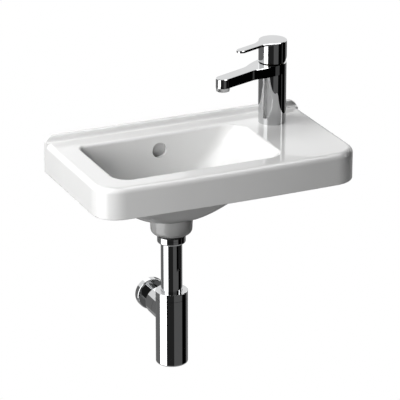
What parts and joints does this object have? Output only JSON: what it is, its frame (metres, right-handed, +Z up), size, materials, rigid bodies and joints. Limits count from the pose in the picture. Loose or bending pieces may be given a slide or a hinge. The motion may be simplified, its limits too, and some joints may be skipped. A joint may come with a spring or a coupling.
{
  "type": "washbasin",
  "caption": "Wall-hung ceramic hand basin with a bowed front, a side ledge for a lever mixer tap, an overflow, a push-open waste and a chromed bottle trap below.",
  "frame": {"origin": "midway between the two wall fixing holes, on the wall's face", "axes": "+Z up, +Y into the wall, +X to the right as seen from the room"},
  "size_m": [0.45, 0.268, 0.5259],
  "materials": {
    "glaze": "glossy",
    "chrome": "polished",
    "rubber": "matte",
    "seal": "matte",
    "steel": "satin",
    "brass": "satin",
    "acetal": "satin",
    "carrier": "satin",
    "alumina": "lapped",
    "jet_plastic": "satin",
    "indicator": "gloss"
  },
  "bodies": {
    "basin": {"basin": "glaze", "waste_flange_gasket": "rubber", "waste_body": "chrome", "plug_latch_sleeve": "acetal", "waste_lower_gasket": "rubber", "waste_back_nut": "chrome", "trap_union_nut": "chrome", "trap_inlet_washer": "seal", "trap_downpipe": "chrome", "trap_cap": "chrome", "trap_cap_seal": "seal", "trap_bottle": "chrome", "trap_outlet_nut": "chrome", "trap_outlet_seal": "seal", "trap_outlet_tube": "chrome", "trap_wall_flange": "chrome", "tap_body": "chrome", "tap_base_seal": "seal", "tap_fixing_stud": "steel", "tap_clamp_gasket": "rubber", "tap_clamp_plate": "steel", "tap_fixing_nut": "brass", "aerator_ring": "chrome", "aerator_washer": "seal", "aerator_insert": "jet_plastic", "cartridge_base": "acetal", "cartridge_port_seals": "seal", "fixed_ceramic_disc": "alumina", "cartridge_housing": "acetal", "cartridge_housing_seal": "seal", "cartridge_nut": "brass"},
    "swivel": {"cartridge_rotor": "acetal", "lever_pivot_pin": "steel"},
    "lever": {"lever_stem": "brass", "tap_handle": "chrome", "handle_set_screw": "steel", "temperature_button": "indicator"},
    "disc": {"moving_ceramic_disc": "alumina", "disc_carrier": "carrier"},
    "plug": {"waste_plug": "chrome", "waste_plug_seal": "seal", "waste_plug_stem": "brass"}
  },
  "joints": [
    {"name": "tap_swivel", "type": "hinge", "parent": "basin", "child": "swivel", "pos_m": [0.155, -0.0586, 0.18], "axis": [0, 0, 1], "range_deg": [-45, 45]},
    {"name": "tap_lift", "type": "hinge", "parent": "swivel", "child": "lever", "pos_m": [0.155, -0.0586, 0.18], "axis": [-0.3827, 0.9239, 0], "range_deg": [0, 24]},
    {"name": "disc_slide", "type": "slide", "parent": "swivel", "child": "disc", "axis": [-0.9239, -0.3827, 0], "range_m": [0, 0.00325]},
    {"name": "plug_press", "type": "slide", "parent": "basin", "child": "plug", "axis": [0, 0, 1], "range_m": [-0.008, 0], "stiffness_N_per_m": 400, "springref_m": 0.004}
  ],
  "couplings": [
    {"joint": "disc_slide", "follows": "tap_lift", "m_per_rad": 0.0077683}
  ]
}
